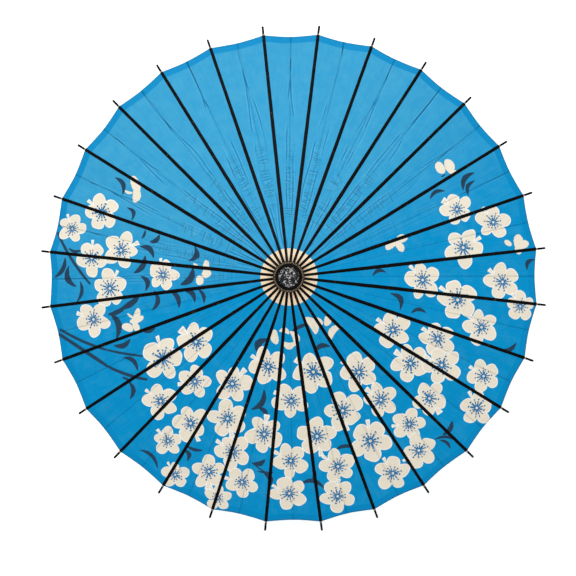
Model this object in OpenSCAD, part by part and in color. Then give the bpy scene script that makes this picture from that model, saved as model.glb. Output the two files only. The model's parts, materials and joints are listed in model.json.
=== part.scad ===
// Oil paper parasol, open. Twenty-eight split bamboo ribs hang on a slotted top notch and are
// pushed up by stretchers that hang on a runner, which slides on the shaft.
// Rib hinge, rib pivot and runner hinge make an isosceles triangle, so the runner stays on the axis.

/* [Canopy] */
// Distance across the rib tips with the parasol open
open_d = 840; // [800:5:880]
// Slope of the open ribs below level, in degrees
open_slope = 22; // [19:1:25]
// Length of rib left bare beyond the paper
bare_tip = 18; // [12:1:26]
// How far the paper's edge is cut in between two ribs, measured along the slope
scallop = 6; // [3:0.5:8]
// Thickness of the oiled paper with its glue
paper_t = 0.5; // [0.4:0.1:0.8]
// Radius of the hole in the paper around the notch
paper_hole_r = 24; // [23.5:0.5:26]

/* [Ribs and stretchers] */
// Number of ribs, with one stretcher each
rib_count = 28; // [20:4:28]
// Distance along a rib from its hinge to the stretcher's pivot
pivot_s = 175; // [168:1:182]
// Width of a rib over most of its length
rib_w = 3.8; // [3.4:0.1:4]
// Depth of a rib over most of its length
rib_depth = 2.8; // [2.4:0.1:3]
// Width of a stretcher
stretcher_w = 2.8; // [2.4:0.1:3]
// Depth of a stretcher
stretcher_depth = 2.8; // [2.4:0.1:3]

/* [Notch and runner] */
// Radius of the circle of hinges on the notch, and of the circle on the runner
hinge_r = 18; // [17.5:0.5:19]
// Radius of the notch and of the runner over their teeth
teeth_r = 21.5; // [21:0.1:22]
// Length of the runner below its hinges
runner_drop = 38; // [30:1:44]
// Radius of the cap over the notch
cap_r = 17.5; // [17:0.1:18]
// Height of the cap's dome
cap_h = 12; // [8:1:16]

/* [Shaft] */
// Height of the rib hinges above the foot
hinge_z = 560; // [556:1:580]
// Radius of the pole
pole_r = 6; // [5.5:0.1:6]
// Radius of the grip
grip_r = 9; // [8:0.1:10]
// Length of the grip
grip_len = 112; // [90:1:114]

/* [Hidden] */
$fn = 48;
// Curves on thin pieces
FINE_FN = 24;
// Gap between a blade and the sides of its slot, and between turning faces
play = 0.3;
// Gap between two glued pieces of one body
glue = 0.05;

// Hinge blades, eyes and ties
blade_w = 1.6;
slot_w = blade_w + 2 * play;
head_r = 2.2;
foot_r = 1.8;
eye_r = 0.55;
tie_r = 0.4;
core_r = 15.2;

// The rib's section stands this far above the line from its hinge to its pivot
rib_low = 2;
rib_top = rib_low + rib_depth;
neck_s = 8;
tip_w = 2.4;
tip_depth = 1.8;
boss_r = 2;
boss_s = 8;
pin_r = 0.4;

// The stretcher's thin upper end turns in the slot of the rib's boss
tongue_w = 1.2;
tongue_r = 1.6;
tongue_len = 11;
tongue_slot_w = tongue_w + 2 * play;
tongue_eye_r = 0.6;

rib_len = (open_d / 2 - hinge_r) / cos(open_slope);
paper_s = rib_len - bare_tip;
pivot_pos = [hinge_r + pivot_s * cos(open_slope), 0, hinge_z - pivot_s * sin(open_slope)];
runner_z = hinge_z - 2 * pivot_s * sin(open_slope);

// Teeth of the notch and of the runner
teeth_up = 2.6;
teeth_down = 5;
roof_gap = 0.3;

// Paper: columns of points across one gore, straight from rib to rib
GORE_STEPS = 4;
COLUMNS = rib_count * GORE_STEPS;

BLACK = [0.07, 0.06, 0.055];
BAMBOO = [0.16, 0.11, 0.08];
BLUE = [0.12, 0.58, 0.84];
CREAM = [0.93, 0.88, 0.74];

function numbered(word, i) = str(word, i < 9 ? "_0" : "_", i + 1);
function azimuth(i) = i * 360 / rib_count;

RIBS = [for (i = [0:rib_count - 1]) numbered("rib", i)];
STRETCHERS = [for (i = [0:rib_count - 1]) numbered("stretcher", i)];

// A flat outline in X and Z, given thickness w across Y
module plate(w) {
    rotate([90, 0, 0]) linear_extrude(w, center = true) children();
}

// A round hole or rod of length w along Y
module cross_rod(r, w) {
    rotate([90, 0, 0]) cylinder(r = r, h = w, center = true, $fn = FINE_FN);
}

// A flat bar along +X, wide w[i][1] at x = w[i][0]
module tapered_plan(w) {
    edge = [for (p = w) [p[0], p[1] / 2]];
    far = [for (i = [len(w) - 1:-1:0]) [w[i][0], -w[i][1] / 2]];
    linear_extrude(40, center = true) polygon(concat(edge, far));
}

// Ring of thread that ties the hinge blades in, lying in the groove through the teeth
module tie_ring(z, r) {
    translate([0, 0, z]) rotate_extrude($fn = 96) translate([hinge_r, 0]) circle(r, $fn = FINE_FN);
}

// One slot for each hinge blade, from the core outwards
module hinge_slots(z, h) {
    for (i = [0:rib_count - 1]) rotate(azimuth(i))
        translate([core_r, -slot_w / 2, z]) cube([teeth_r, slot_w, h]);
}

// Side view of a rib: round head, neck, straight strip and the boss for the stretcher
module rib_side() {
    circle(head_r, $fn = FINE_FN);
    polygon([
        [0, head_r], [neck_s, rib_top], [rib_len - 1, rib_top], [rib_len, rib_top - 0.6],
        [rib_len, rib_top - tip_depth], [pivot_s + boss_s, rib_low],
        [neck_s + 4, rib_low], [0, -head_r]
    ]);
    translate([pivot_s, 0]) circle(boss_r, $fn = FINE_FN);
    polygon([
        [pivot_s - boss_s, rib_low + 0.1], [pivot_s + boss_s, rib_low + 0.1],
        [pivot_s + boss_r, -boss_r / 3], [pivot_s - boss_r, -boss_r / 3]
    ]);
}

// Rib along +X with its hinge at the origin
module rib_bar() {
    difference() {
        intersection() {
            plate(rib_w + 2) rib_side();
            tapered_plan([
                [-head_r - 1, blade_w], [neck_s, blade_w], [neck_s + 12, rib_w - 0.8],
                [pivot_s - 2 * boss_s, rib_w], [paper_s - 10, rib_w - 0.4],
                [paper_s, tip_w + 0.4], [rib_len + 1, tip_w]
            ]);
        }
        cross_rod(eye_r, rib_w + 2);
        translate([pivot_s, 0, 0]) cross_rod(pin_r + glue, rib_w + 2);
        translate([pivot_s - boss_s - 2, -tongue_slot_w / 2, -boss_r - 1])
            cube([2 * boss_s + 4, tongue_slot_w, boss_r + 1 + rib_low - 0.05]);
    }
}

// The pin through the boss, as long as the rib is wide
module pivot_pin() {
    translate([pivot_s, 0, 0]) cross_rod(pin_r, rib_w - 0.2);
}

module rib(i) {
    rotate(azimuth(i)) translate([hinge_r, 0, hinge_z]) rotate([0, open_slope, 0]) {
        color(BAMBOO) rib_bar();
        color(BLACK) pivot_pin();
    }
}

// Side view of a stretcher: round at both pivots, straight between
module stretcher_side() {
    circle(tongue_r, $fn = FINE_FN);
    translate([pivot_s, 0]) circle(foot_r, $fn = FINE_FN);
    translate([0, -stretcher_depth / 2]) square([pivot_s, stretcher_depth]);
}

// Stretcher from its pivot on the rib, at the origin, down to the runner
module stretcher(i) {
    color(BAMBOO) rotate(azimuth(i)) translate(pivot_pos) rotate([0, 180 - open_slope, 0])
        difference() {
            intersection() {
                plate(stretcher_w + 2) stretcher_side();
                tapered_plan([
                    [-foot_r - 1, tongue_w], [tongue_len, tongue_w], [tongue_len + 4, stretcher_w],
                    [pivot_s - 14, stretcher_w], [pivot_s - 8, blade_w], [pivot_s + foot_r + 1, blade_w]
                ]);
            }
            cross_rod(tongue_eye_r, stretcher_w + 2);
            translate([pivot_s, 0, 0]) cross_rod(eye_r, stretcher_w + 2);
        }
}

// Turned notch with a tooth between every two ribs, the tie ring and the domed cap
module top_notch() {
    color(BLACK) difference() {
        translate([0, 0, hinge_z]) rotate_extrude() polygon([
            [0, teeth_up], [teeth_r - 0.8, teeth_up], [teeth_r, teeth_up - 0.8],
            [teeth_r, -teeth_down + 0.8], [teeth_r - 0.8, -teeth_down], [14, -teeth_down],
            [14, -teeth_down - 4], [11, -teeth_down - 11], [8, -teeth_down - 13], [0, -teeth_down - 13]
        ]);
        hinge_slots(hinge_z - teeth_down - 1, teeth_up + teeth_down + 2);
        translate([0, 0, hinge_z - teeth_down - 20]) cylinder(r = pole_r + glue, h = teeth_down + 20);
        tie_ring(hinge_z, tie_r + glue);
    }
    color(CREAM) tie_ring(hinge_z, tie_r);
    color(BLACK) notch_cap();
}

// Dome over the notch: a cylindrical rim under a cap cut from a ball
module notch_cap() {
    rim_h = 2;
    ball_r = (pow(cap_r, 2) + pow(cap_h - rim_h, 2)) / (2 * (cap_h - rim_h));
    translate([0, 0, hinge_z + teeth_up + roof_gap]) {
        intersection() {
            cylinder(r = cap_r, h = cap_h + 1);
            translate([0, 0, cap_h - ball_r]) sphere(ball_r, $fn = 96);
        }
    }
}

// Runner: teeth for the stretchers, a turned grip below them and the bore for the pole
module runner() {
    color(BLACK) difference() {
        translate([0, 0, runner_z]) rotate_extrude() polygon([
            [0, 9], [9, 9], [10.5, 7.5], [10.5, teeth_up], [teeth_r - 0.8, teeth_up],
            [teeth_r, teeth_up - 0.8], [teeth_r, -teeth_down + 0.8], [teeth_r - 0.8, -teeth_down],
            [15, -teeth_down - 2], [11.5, -teeth_down - 6], [11, -runner_drop + 12],
            [12.5, -runner_drop + 8], [12.5, -runner_drop + 1.5], [11, -runner_drop], [0, -runner_drop]
        ]);
        hinge_slots(runner_z - 2.6, 2.6 + teeth_up + 1);
        translate([0, 0, runner_z - runner_drop - 1]) cylinder(r = pole_r + 0.4, h = runner_drop + 12);
        tie_ring(runner_z, tie_r + glue);
    }
    color(CREAM) tie_ring(runner_z, tie_r);
}

// Pole with the slot for its catch, glued into the turned grip
module shaft() {
    pole_foot = 40;
    catch_w = 2.6;
    catch_top = runner_z - runner_drop + 12;
    color(BLACK) difference() {
        translate([0, 0, pole_foot]) cylinder(r = pole_r, h = hinge_z - pole_foot - glue);
        translate([-1, -catch_w / 2, catch_top - 52]) cube([pole_r + 2, catch_w, 52]);
    }
    color(BLACK) difference() {
        rotate_extrude() polygon([
            [0, 0], [grip_r - 1.5, 0], [grip_r, 1.5], [grip_r, grip_len - 24],
            [grip_r - 0.8, grip_len - 23], [grip_r - 0.8, grip_len - 21], [grip_r, grip_len - 20],
            [grip_r, grip_len - 14], [grip_r - 0.8, grip_len - 13], [grip_r - 0.8, grip_len - 11],
            [grip_r, grip_len - 10], [grip_r, grip_len - 6], [grip_r - 1.5, grip_len - 1],
            [pole_r + 0.8, grip_len], [0, grip_len]
        ]);
        translate([0, 0, pole_foot - glue]) cylinder(r = pole_r + glue, h = grip_len);
    }
}

// Point of the paper s along the ribs and n above their line, t of the way from rib k to the next
function on_rib(k, s, n) = let (r = hinge_r + s * cos(open_slope) + n * sin(open_slope))
    [r * cos(azimuth(k)), r * sin(azimuth(k)), hinge_z - s * sin(open_slope) + n * cos(open_slope)];
function on_gore(j, s, n) = let (k = floor(j / GORE_STEPS), t = j / GORE_STEPS - k)
    (1 - t) * on_rib(k, s, n) + t * on_rib(k + 1, s, n);
function edge_s(j) = let (t = j / GORE_STEPS - floor(j / GORE_STEPS))
    paper_s - scallop * 4 * t * (1 - t);

// Triangles of the band between ring a and ring b of points
function band(a, b) = [
    for (j = [0:COLUMNS - 1]) let (m = (j + 1) % COLUMNS) each [
        [a * COLUMNS + j, b * COLUMNS + j, b * COLUMNS + m],
        [a * COLUMNS + j, b * COLUMNS + m, a * COLUMNS + m]
    ]
];

// The whole paper cover as one closed shell, flat between each rib and the next
module canopy() {
    low = rib_top + play;
    high = low + paper_t;
    inner_s = (paper_hole_r - hinge_r) / cos(open_slope);
    rings = [
        [for (j = [0:COLUMNS - 1]) on_gore(j, inner_s, high)],
        [for (j = [0:COLUMNS - 1]) on_gore(j, edge_s(j), high)],
        [for (j = [0:COLUMNS - 1]) on_gore(j, edge_s(j), low)],
        [for (j = [0:COLUMNS - 1]) on_gore(j, inner_s, low)]
    ];
    color(BLUE) polyhedron(
        points = [for (ring = rings) each ring],
        faces = concat(band(1, 0), band(2, 1), band(3, 2), band(0, 3))
    );
}

shaft();
top_notch();
runner();
canopy();
for (i = [0:rib_count - 1]) rib(i);
for (i = [0:rib_count - 1]) stretcher(i);
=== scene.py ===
import json
import math

import bpy
import numpy as np
from bpy.props import FloatProperty, FloatVectorProperty, PointerProperty
from mathutils import Matrix, Vector

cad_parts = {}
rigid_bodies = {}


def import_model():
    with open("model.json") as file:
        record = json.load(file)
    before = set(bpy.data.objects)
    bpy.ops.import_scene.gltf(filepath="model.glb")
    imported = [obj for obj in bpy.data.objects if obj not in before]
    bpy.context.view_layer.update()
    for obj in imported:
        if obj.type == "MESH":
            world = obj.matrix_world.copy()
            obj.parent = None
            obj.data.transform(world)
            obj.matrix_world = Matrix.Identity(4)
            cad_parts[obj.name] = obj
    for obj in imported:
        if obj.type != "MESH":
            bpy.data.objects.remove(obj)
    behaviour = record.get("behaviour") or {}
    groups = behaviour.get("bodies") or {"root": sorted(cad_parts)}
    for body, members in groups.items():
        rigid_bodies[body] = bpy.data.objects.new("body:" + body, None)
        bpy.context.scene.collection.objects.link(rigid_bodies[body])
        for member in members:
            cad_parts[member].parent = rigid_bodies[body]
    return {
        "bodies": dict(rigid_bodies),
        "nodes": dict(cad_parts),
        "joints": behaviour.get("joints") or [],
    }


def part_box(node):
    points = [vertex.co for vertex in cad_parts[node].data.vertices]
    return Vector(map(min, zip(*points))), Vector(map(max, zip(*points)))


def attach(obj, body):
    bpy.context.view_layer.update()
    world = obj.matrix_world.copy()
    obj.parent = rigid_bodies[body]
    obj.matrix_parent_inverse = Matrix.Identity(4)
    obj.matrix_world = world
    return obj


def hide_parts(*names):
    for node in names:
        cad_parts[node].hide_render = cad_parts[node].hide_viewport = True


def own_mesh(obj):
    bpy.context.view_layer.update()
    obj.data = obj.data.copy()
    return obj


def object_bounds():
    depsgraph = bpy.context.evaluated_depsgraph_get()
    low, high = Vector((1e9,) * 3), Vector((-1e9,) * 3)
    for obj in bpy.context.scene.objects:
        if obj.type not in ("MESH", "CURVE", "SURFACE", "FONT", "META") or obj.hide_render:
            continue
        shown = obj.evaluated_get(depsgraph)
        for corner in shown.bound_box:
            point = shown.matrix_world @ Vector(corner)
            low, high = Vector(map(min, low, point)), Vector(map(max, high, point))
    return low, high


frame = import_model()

bl_info = {
    "name": "Oil Paper Umbrella",
    "version": (1, 0, 0),
    "blender": (4, 5, 0),
    "location": "View3D > Sidebar > Umbrella",
    "description": "Dresses the frame of an open paper umbrella: printed paper, lacquer, thread and bamboo",
    "category": "Object",
}

# ---------------------------------------------------------------- places taken from the frame

MM = 0.001
CAD_LOW, CAD_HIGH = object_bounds()
JOINTS = {joint["name"]: joint for joint in frame["joints"]}
RIBS = sorted(name for name in frame["bodies"] if name.startswith("rib_"))
GORES = len(RIBS)
PITCH = math.tau / GORES
HINGE_R = JOINTS["fold"]["pos_m"][0]
HINGE_Z = JOINTS["fold"]["pos_m"][2]
PIVOT = JOINTS["stretcher_fold_01"]["pos_m"]
RUNNER_Z = JOINTS["runner_slide"]["pos_m"][2]
SLOPE = math.atan2(HINGE_Z - PIVOT[2], PIVOT[0] - HINGE_R)
DOWN, OUT = math.sin(SLOPE), math.cos(SLOPE)


def corners_of(node):
    """All corners of a CAD node's mesh, as rows of x, y and z."""
    flat = np.zeros(len(frame["nodes"][node].data.vertices) * 3)
    frame["nodes"][node].data.vertices.foreach_get("co", flat)
    return flat.reshape(-1, 3)


def from_hinge(points):
    """Distance along a rib's hinge line and height above it, of points at any azimuth."""
    radius = np.hypot(points[:, 0], points[:, 1]) - HINGE_R
    drop = HINGE_Z - points[:, 2]
    return radius * OUT + drop * DOWN, radius * DOWN - drop * OUT


RIB_ALONG, RIB_OVER = from_hinge(corners_of("rib_01"))
PAPER_ALONG, PAPER_OVER = from_hinge(corners_of("canopy"))
RIB_END = float(RIB_ALONG.max())
RIB_TOP = float(RIB_OVER.max())
PAPER_END = float(PAPER_ALONG.max())
PAPER_TOP = float(PAPER_OVER.max())
NOTCH_TOP = corners_of("top_notch")
CAP = NOTCH_TOP[NOTCH_TOP[:, 2] > HINGE_Z + 2.8 * MM]
CAP_RADIUS = float(np.hypot(CAP[:, 0], CAP[:, 1]).max())
RUNNER_FOOT = float(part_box("runner")[0].z)

# ---------------------------------------------------------------- the printed pattern

# The rows of BLOSSOMS and STROKES were picked one by one, but their azimuths and distances were worked out
# outside this script. They are data and not a design: a rule, or rows written straight
# in these units, should take their place.

# Blossoms: azimuth in degrees from the first rib, distance from the axis and radius in mm, and the
# azimuth towards which the blossom's stalk points
BLOSSOMS = (
    (167, 330, 31, 145), (173.5, 373, 25, 115), (180.5, 330, 29, 95), (177, 281, 31, 40),
    (189.5, 297, 31, 65), (185, 205, 26, 115), (198, 333, 30, 170), (218.5, 245, 36, 120),
    (220.5, 183, 32, 145), (233.5, 228, 28, 190), (229.5, 293, 30, 150), (241.5, 288, 31, 290),
    (239, 336, 25, 130), (247.5, 194, 31, 50), (252, 250, 32, 285), (257.5, 299, 31, 155),
    (253, 346, 30, 275), (245.5, 378, 24, 130), (262.5, 345, 28, 165), (257.5, 383, 23, 130),
    (262.5, 146, 31, 150), (290, 155, 34, 150), (312, 187, 32, 150), (312.5, 245, 30, 150),
    (276.5, 198, 30, 160), (297.5, 230, 33, 295), (285.5, 260, 33, 280), (266.5, 257, 32, 85),
    (276, 298, 30, 160), (302, 295, 35, 105), (290, 317, 30, 150), (275.5, 354, 30, 155),
    (288, 367, 29, 95), (339, 184, 30, 145), (343.5, 257, 30, 145), (330.5, 237, 31, 155),
    (336, 282, 32, 150), (351.5, 320, 29, 150), (339, 353, 28, 150), (331, 371, 30, 130),
    (325, 298, 30, 310), (315, 306, 28, 190), (312.5, 351, 30, 225), (303.5, 361, 30, 130),
    (28.5, 291, 27, 155), (21.5, 342, 29, 130), (16, 283, 33, 35), (5, 212, 30, 145),
    (358.5, 272, 35, 145), (5, 345, 30, 145), (359, 378, 25, 130),
)
# Brush strokes: kind, azimuth and distance of the start and of the end, hollow and width in mm.
# The hollow bends the stroke to the left of its direction.
LEAF, BRANCH, BUD = 0.0, 1.0, 2.0
STROKES = (
    (LEAF, 156.5, 334, 160, 308, 8, 8), (BUD, 153.5, 309, 157, 285, 0, 14.5),
    (BUD, 156, 294, 160.5, 283, 3, 14), (BUD, 158.5, 308, 158, 294, -1.5, 4.5),
    (LEAF, 163, 292, 166.5, 276, 8, 7), (LEAF, 168, 248, 171.5, 250, 1.5, 4.5),
    (LEAF, 168, 222, 172, 235, 4, 8), (LEAF, 174.5, 250, 178, 223, 7, 9),
    (LEAF, 168, 160, 177, 164, 8.5, 9.5), (LEAF, 177.5, 238, 184.5, 255, 6, 9.5),
    (LEAF, 180.5, 155, 190, 176, 7, 11.5), (LEAF, 185.5, 243, 191.5, 236, 8, 9),
    (LEAF, 181, 377, 186, 395, 6, 8), (LEAF, 183, 370, 188.5, 356, -9.5, 10),
    (LEAF, 187, 349, 192.5, 357, 6, 6.5), (BRANCH, 175, 398, 188, 331, -4, 5),
    (LEAF, 178.5, 373, 178.5, 349, -4.5, 5.5), (LEAF, 191.5, 221, 199.5, 231, 8.5, 8),
    (LEAF, 192, 195, 201.5, 185, 6, 8.5), (LEAF, 193, 172, 201, 157, 7, 8.5),
    (LEAF, 193.5, 147, 203, 143, 4, 6.5), (LEAF, 193, 247, 196.5, 282, 2.5, 10),
    (LEAF, 196, 273, 197.5, 306, 2.5, 8), (LEAF, 197, 303, 205.5, 303, 10, 11),
    (BUD, 197.5, 252, 201.5, 265, 1.5, 10.5), (BUD, 201, 247, 201.5, 272, 1, 10.5),
    (BUD, 202, 266, 205.5, 263, 0.5, 11), (BUD, 202, 287, 204.5, 271, 1.5, 13),
    (BUD, 198.5, 273, 200.5, 265, 0, 4), (LEAF, 206, 256, 206.5, 233, -2.5, 6.5),
    (LEAF, 207, 280, 207, 311, 6, 9), (BUD, 174.5, 135, 182, 136, 1, 10),
    (BUD, 182.5, 125, 185, 140, -0.5, 13), (BUD, 185, 144, 191, 145, 1, 13),
    (BUD, 178, 156, 180.5, 144, 0.5, 4), (BRANCH, 199.5, 400, 212, 335, 0.5, 6.5),
    (BRANCH, 212, 335, 221.5, 287, -2.5, 5.5), (BRANCH, 198.5, 396, 207.5, 325, -3, 5),
    (BRANCH, 207.5, 325, 214, 273, -1, 4), (LEAF, 211.5, 305, 217.5, 293, 8, 8),
    (LEAF, 218.5, 316, 223, 332, 7.5, 8), (LEAF, 216.5, 322, 218.5, 313, 0, 4),
    (LEAF, 234.5, 380, 241, 386, 8.5, 6.5), (LEAF, 244, 324, 249, 317, -3, 5.5),
    (LEAF, 244, 332, 246.5, 346, 6, 8), (LEAF, 256.5, 103, 253.5, 132, -8, 11.5),
    (LEAF, 263, 184, 259.5, 222, 8.5, 9.5), (LEAF, 262, 215, 266.5, 231, 5, 8),
    (LEAF, 264.5, 309, 268, 299, -4, 8.5), (BRANCH, 264, 308, 269.5, 323, -1, 2.5),
    (LEAF, 266, 321, 271, 319, -1, 3.5), (LEAF, 268, 322, 270, 345, 7, 9),
    (LEAF, 278, 87, 299.5, 80, 2.5, 6.5), (LEAF, 294, 125, 306.5, 127, 6, 8.5),
    (LEAF, 290.5, 289, 296.5, 295, 5, 6.5), (LEAF, 278.5, 338, 285, 350, 10, 8),
    (LEAF, 282.5, 311, 282, 336, 3.5, 7), (BUD, 260, 86, 265, 108, -1.5, 12.5),
    (BUD, 265.5, 86, 276, 89, 3.5, 8), (BUD, 270, 103, 281.5, 104, -6, 11),
    (BUD, 277, 85, 280.5, 109, 6, 11), (BUD, 296.5, 68, 301.5, 99, 5.5, 13.5),
    (BUD, 308.5, 76, 311, 91, 0.5, 8), (BUD, 320, 85, 313, 96, 2, 11),
    (BUD, 323, 112, 309, 118, -6, 11), (LEAF, 357, 161, 349.5, 183, 10, 9),
    (LEAF, 349.5, 201, 351.5, 225, 6, 6.5), (LEAF, 350, 384, 347, 361, 6, 8),
    (LEAF, 347, 370, 347, 400, 1, 4), (LEAF, 324.5, 352, 320, 357, 4.5, 8.5),
    (LEAF, 317.5, 353, 321.5, 382, 6, 5), (LEAF, 318.5, 360, 319, 383, 4, 5.5),
    (LEAF, 35.5, 258, 35.5, 286, 6, 6.5), (LEAF, 33, 314, 36, 345, 8.5, 9),
    (LEAF, 31, 318, 34, 339, 7, 7), (LEAF, 8, 387, 10.5, 401, 6.5, 7.5),
    (LEAF, 7, 131, 9, 153, 6, 6.5), (BUD, 44.5, 303, 40.5, 300, -0.5, 15),
    (BUD, 43.5, 318, 39.5, 311, 2, 16), (BUD, 40, 308, 39, 320, -0.5, 6.5),
    (LEAF, 40, 293, 40, 302, -0.5, 2.5), (BUD, 24.5, 177, 25, 198, 2, 13),
    (BUD, 24.5, 178, 19, 185, 1, 11.5), (BUD, 24.5, 180, 22.5, 159, -2.5, 13.5),
    (BUD, 14.5, 364, 16, 354, 0, 8.5), (BUD, 13.5, 374, 17, 379, -0.5, 16),
    (BUD, 14, 373, 14.5, 394, 0.5, 13.5), (BUD, 14.5, 375, 12, 375, 0, 12),
)
LAYERS = ("a", "b", "c")


def plan_places(rows):
    """x and y of points given as azimuth in degrees and distance from the axis in mm."""
    azimuth = np.radians(rows[:, 0])
    return np.stack([np.cos(azimuth), np.sin(azimuth)], axis=1) * rows[:, 1:2] * MM


BLOSSOM_TABLE = np.array(BLOSSOMS, float)
BLOSSOM_PLAN = plan_places(BLOSSOM_TABLE)
BLOSSOM_SIZE = BLOSSOM_TABLE[:, 2] * MM
BLOSSOM_TURN = np.radians(BLOSSOM_TABLE[:, 3])
STROKE_TABLE = np.array(STROKES, float)
STROKE_START = plan_places(STROKE_TABLE[:, 1:3])
STROKE_RUN = plan_places(STROKE_TABLE[:, 3:5]) - STROKE_START
STROKE_LENGTH = np.linalg.norm(STROKE_RUN, axis=1)
STROKE_POWER = np.select([STROKE_TABLE[:, 0] == LEAF, STROKE_TABLE[:, 0] == BRANCH], [0.62, 0.12], 0.5)

# ---------------------------------------------------------------- surfaces


def cell_number(across, along, seed):
    """A fixed random number from 0 to 1 for each cell: the fraction of a long sine."""
    value = np.sin(across * 127.1 + along * 311.7 + seed * 74.7) * 43758.5453
    return value - np.floor(value)


def ripple(across, along, seed, cells_round=0):
    """Smooth noise from -1 to 1: cell numbers blended by 3t^2 - 2t^3 both ways, closed after cells_round."""
    left, low = np.floor(across), np.floor(along)
    s, t = across - left, along - low
    s, t = s * s * (3 - 2 * s), t * t * (3 - 2 * t)
    right = left + 1
    if cells_round:
        left, right = np.mod(left, cells_round), np.mod(right, cells_round)
    below = cell_number(left, low, seed) * (1 - s) + cell_number(right, low, seed) * s
    above = cell_number(left, low + 1, seed) * (1 - s) + cell_number(right, low + 1, seed) * s
    return 2 * (below * (1 - t) + above * t) - 1


def ease(value, start, end):
    """0 before start, 1 after end and 3t^2 - 2t^3 between."""
    t = np.clip((value - start) / (end - start), 0, 1)
    return t * t * (3 - 2 * t)


def rib_azimuth(rib):
    """Azimuth of a rib in radians, counted from the first rib along +X."""
    return RIBS.index(rib) * PITCH


def over_rib(azimuth, along, over, aside):
    """Points measured from a rib's hinge: along the slope, over it, and aside to the left."""
    radius = HINGE_R + along * OUT + over * DOWN
    height = HINGE_Z - along * DOWN + over * OUT
    x = radius * math.cos(azimuth) - aside * math.sin(azimuth)
    y = radius * math.sin(azimuth) + aside * math.cos(azimuth)
    return np.stack(np.broadcast_arrays(x, y, height), axis=-1)


def grid_faces(rows, columns, closed=False):
    """Cells of a grid of points, row by row; closed joins the last column to the first."""
    row = np.arange(rows - 1)[:, None] * columns
    column = np.arange(columns if closed else columns - 1)[None, :]
    after = (column + 1) % columns
    cells = (row + column, row + after, row + columns + after, row + columns + column)
    return np.stack(np.broadcast_arrays(*cells), axis=-1).reshape(-1, 4)


def end_faces(row_start, ring):
    """Strip of cells that closes one end of a flattened ring: its second half runs back under the first."""
    step = np.arange(ring // 2 - 1)
    cells = (step, step + 1, ring - 2 - step, ring - 1 - step)
    return np.stack(cells, axis=-1) + row_start


def fan_faces(row_start, ring, pole):
    """Triangles, written as cells with a repeated corner, from a ring of points to a pole."""
    step = np.arange(ring)
    return np.stack([step + row_start, (step + 1) % ring + row_start, np.full(ring, pole)], axis=-1)


def face_outward(points, faces):
    """Turns the faces over if the closed shape's volume, summed over its faces, is below zero."""
    a, b, c = points[faces[:, 0]], points[faces[:, 1]], points[faces[:, 2]]
    volume = np.einsum("ij,ij->i", a, np.cross(b, c)).sum()
    if faces.shape[1] == 4:
        d = points[faces[:, 3]]
        volume += np.einsum("ij,ij->i", a, np.cross(c, d)).sum()
    return faces[:, ::-1] if volume < 0 else faces


def new_piece(name, points, cells, triangles=None):
    """Makes a mesh object from points, four-cornered cells and, where there are poles, triangles."""
    triangles = np.zeros((0, 3), int) if triangles is None else triangles
    mesh = bpy.data.meshes.new(name)
    mesh.vertices.add(len(points))
    mesh.vertices.foreach_set("co", points.astype(np.float32).ravel())
    corners = np.concatenate([cells.ravel(), triangles.ravel()]).astype(np.int32)
    mesh.loops.add(len(corners))
    mesh.loops.foreach_set("vertex_index", corners)
    starts = [np.arange(len(cells)) * 4, len(cells) * 4 + np.arange(len(triangles)) * 3]
    starts = np.concatenate(starts).astype(np.int32)
    mesh.polygons.add(len(starts))
    mesh.polygons.foreach_set("loop_start", starts)
    mesh.polygons.foreach_set("use_smooth", np.ones(len(starts), bool))
    mesh.update(calc_edges=True)
    piece = bpy.data.objects.new(name, mesh)
    bpy.context.scene.collection.objects.link(piece)
    return piece


def flat_tube(name, rings):
    """A closed strip: rings of points in rows, each running over the top and back underneath."""
    rows, ring = rings.shape[:2]
    points = rings.reshape(-1, 3)
    cells = [grid_faces(rows, ring, closed=True), end_faces(0, ring)[:, ::-1]]
    cells.append(end_faces((rows - 1) * ring, ring))
    cells = np.concatenate(cells)
    return new_piece(name, points, face_outward(points, cells))


def round_tube(name, rings):
    """A closed shape lofted through rings of points, with a pole at the middle of each end ring."""
    rows, ring = rings.shape[:2]
    poles = np.stack([rings[0].mean(axis=0), rings[-1].mean(axis=0)])
    points = np.concatenate([rings.reshape(-1, 3), poles])
    cells = grid_faces(rows, ring, closed=True)
    turned = face_outward(points, cells)
    flip = turned is not cells
    first = fan_faces(0, ring, rows * ring)[:, ::-1]
    last = fan_faces((rows - 1) * ring, ring, rows * ring + 1)
    triangles = np.concatenate([first, last])
    return new_piece(name, points, turned, triangles[:, ::-1] if flip else triangles)


# ---------------------------------------------------------------- canopy


GORE_ROWS = 121
GORE_COLUMNS = 15


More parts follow.
